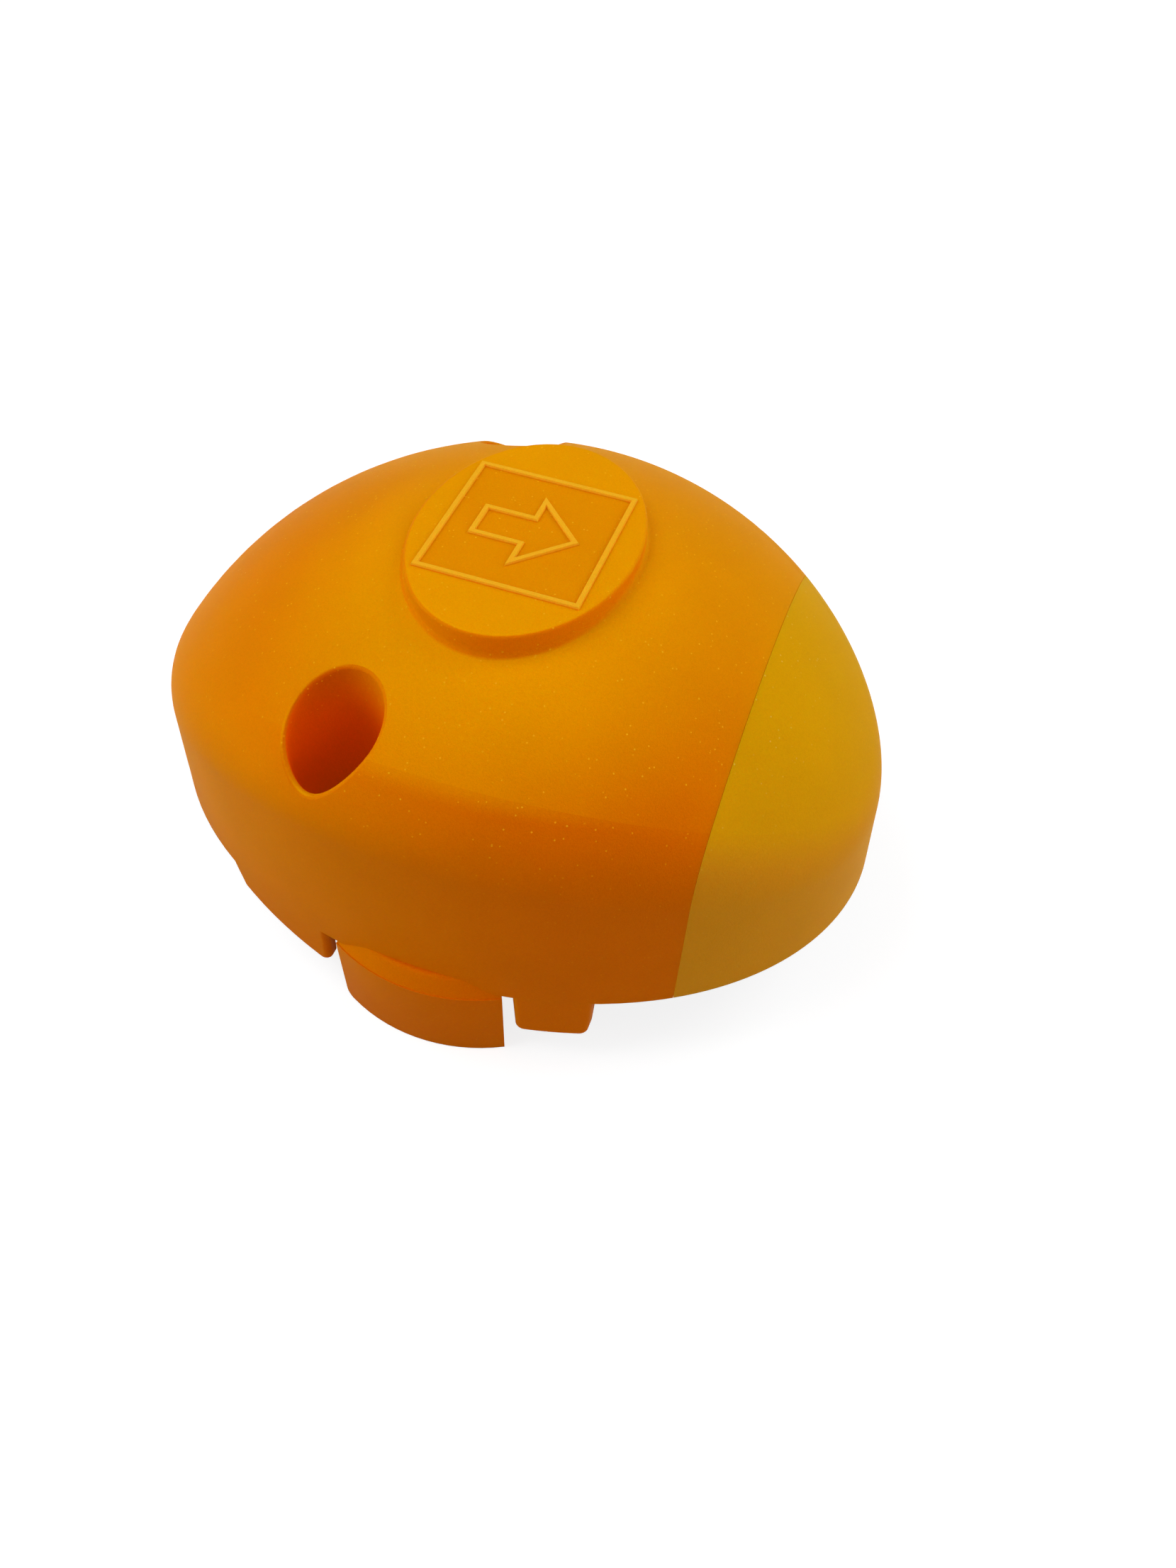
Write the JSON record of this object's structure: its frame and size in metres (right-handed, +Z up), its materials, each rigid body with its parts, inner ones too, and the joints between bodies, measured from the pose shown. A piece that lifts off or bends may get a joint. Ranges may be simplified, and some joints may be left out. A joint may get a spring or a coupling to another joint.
{
  "type": "raised pavement marker",
  "caption": "Domed road marker cap with an orange shell, oval badge pad and screw wells, and a yellow end lens over a reflector, standing on curved collars and feet.",
  "frame": {"origin": "centre of the elliptic rim, in the plane that the two curved collars stand on", "axes": "+X along the cap's length towards the yellow end lens, +Y across it towards the rear screw well, +Z up"},
  "size_m": [0.1212, 0.095, 0.068],
  "materials": {
    "cover_plastic": "moulded orange polymer with a fine spark-eroded grain",
    "lens_plastic": "moulded amber translucent polymer with the same fine grain",
    "gasket_rubber": "black EPDM rubber, moulded",
    "plate_plastic": "dark grey glass-filled polymer, moulded",
    "carrier_plastic": "light grey polymer, moulded",
    "reflector_plastic": "amber acrylic with prismatic back, moulded",
    "screw_steel": "stainless steel, cold headed",
    "fixing_screw_steel": "stainless steel, cold headed with rolled thread",
    "washer_steel": "stainless steel, stamped",
    "washer_rubber": "black EPDM rubber bonded to the washer",
    "sleeve_steel": "zinc-plated steel tube, cut to length"
  },
  "bodies": {
    "cover": {"dome_cover": "cover_plastic", "end_lens": "lens_plastic", "lens_gasket": "gasket_rubber", "base_plate": "plate_plastic", "base_gasket": "gasket_rubber", "reflector_carrier": "carrier_plastic", "reflector_centre": "reflector_plastic", "reflector_front": "reflector_plastic", "reflector_rear": "reflector_plastic", "cover_screws": "screw_steel", "lens_screw": "screw_steel", "carrier_screws": "screw_steel", "front_sleeve": "sleeve_steel", "rear_sleeve": "sleeve_steel"},
    "front_washer": {"front_washer": "washer_steel", "front_washer_seal": "washer_rubber"},
    "front_screw": {"front_fixing_screw": "fixing_screw_steel"},
    "rear_washer": {"rear_washer": "washer_steel", "rear_washer_seal": "washer_rubber"},
    "rear_screw": {"rear_fixing_screw": "fixing_screw_steel"}
  },
  "joints": [
    {"name": "front_washer_lift", "type": "slide", "parent": "cover", "child": "front_washer", "axis": [0, 0, 1], "range_m": [0, 0.0108]},
    {"name": "front_screw_turn", "type": "hinge", "parent": "front_washer", "child": "front_screw", "pos_m": [-0.0131, -0.0339, 0.0299], "axis": [0, 0, 1], "range_deg": [0, 2170]},
    {"name": "rear_washer_lift", "type": "slide", "parent": "cover", "child": "rear_washer", "axis": [0, 0, 1], "range_m": [0, 0.0108]},
    {"name": "rear_screw_turn", "type": "hinge", "parent": "rear_washer", "child": "rear_screw", "pos_m": [-0.0131, 0.0339, 0.0299], "axis": [0, 0, 1], "range_deg": [0, 2170]}
  ],
  "couplings": [
    {"joint": "front_screw_turn", "follows": "front_washer_lift", "rad_per_m": 3490.7},
    {"joint": "rear_screw_turn", "follows": "rear_washer_lift", "rad_per_m": 3490.7}
  ]
}
